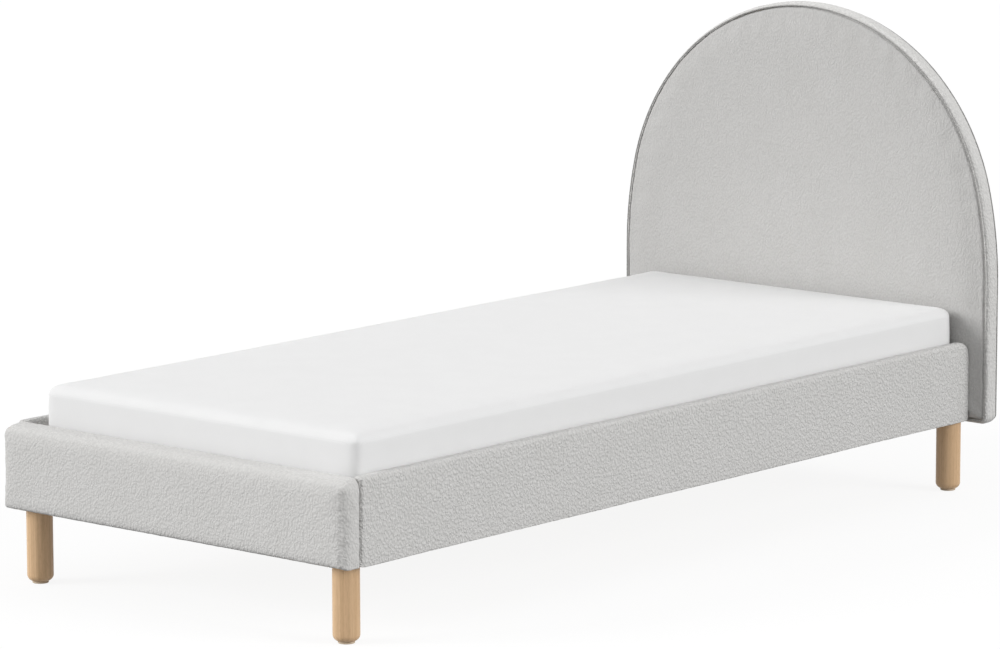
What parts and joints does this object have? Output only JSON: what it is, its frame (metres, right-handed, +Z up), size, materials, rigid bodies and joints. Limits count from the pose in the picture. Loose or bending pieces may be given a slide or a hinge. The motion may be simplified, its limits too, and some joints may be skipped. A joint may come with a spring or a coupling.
{
  "type": "upholstered single bed",
  "caption": "Low single bed with a padded half-round headboard, padded rails and footboard, turned wooden legs, a slatted base and a lift-out mattress.",
  "frame": {"origin": "on the floor, under the middle of the bed's bounding box", "axes": "+X to the right of someone who stands at the foot of the bed and faces the headboard, +Y from the footboard to the headboard, +Z up"},
  "size_m": [1.045, 2.134, 1.067],
  "materials": {
    "boucle": "light warm grey looped upholstery cloth over foam",
    "welt_cloth": "the same cloth sewn round a cord",
    "ticking": "white knitted mattress cover",
    "foam": "cut polyurethane foam",
    "oak": "pale oak, matt lacquer",
    "pine": "planed pine",
    "plywood": "birch plywood",
    "webbing": "woven polyester strap",
    "zinc_steel": "zinc plated",
    "brass": "plain",
    "glide_plastic": "dark moulded glide"
  },
  "bodies": {
    "frame": {"corner_block_front_left": "pine", "corner_block_front_right": "pine", "corner_block_rear_left": "pine", "corner_block_rear_right": "pine", "footboard_bolts": "zinc_steel", "footboard_core": "plywood", "footboard_cover": "boucle", "footboard_insert_nuts": "brass", "glides": "glide_plastic", "headboard_back_pad": "boucle", "headboard_back_welt": "welt_cloth", "headboard_bolts": "zinc_steel", "headboard_front_pad": "boucle", "headboard_front_welt": "welt_cloth", "headboard_insert_nuts": "brass", "headboard_panel": "plywood", "headboard_side_band": "boucle", "leg_front_left": "oak", "leg_front_right": "oak", "leg_rear_left": "oak", "leg_rear_right": "oak", "rail_board_left": "plywood", "rail_board_right": "plywood", "rail_cover_left": "boucle", "rail_cover_right": "boucle", "slat_01": "pine", "slat_02": "pine", "slat_03": "pine", "slat_04": "pine", "slat_05": "pine", "slat_06": "pine", "slat_07": "pine", "slat_08": "pine", "slat_09": "pine", "slat_10": "pine", "slat_11": "pine", "slat_12": "pine", "slat_13": "pine", "slat_14": "pine", "slat_15": "pine", "slat_ledge_left": "pine", "slat_ledge_right": "pine", "slat_strap_left": "webbing", "slat_strap_right": "webbing"},
    "mattress": {"mattress_core": "foam", "mattress_cover": "ticking"}
  },
  "joints": [
    {"name": "mattress_lift", "type": "slide", "parent": "frame", "child": "mattress", "axis": [0, 0, 1], "range_m": [0, 0.3]}
  ]
}
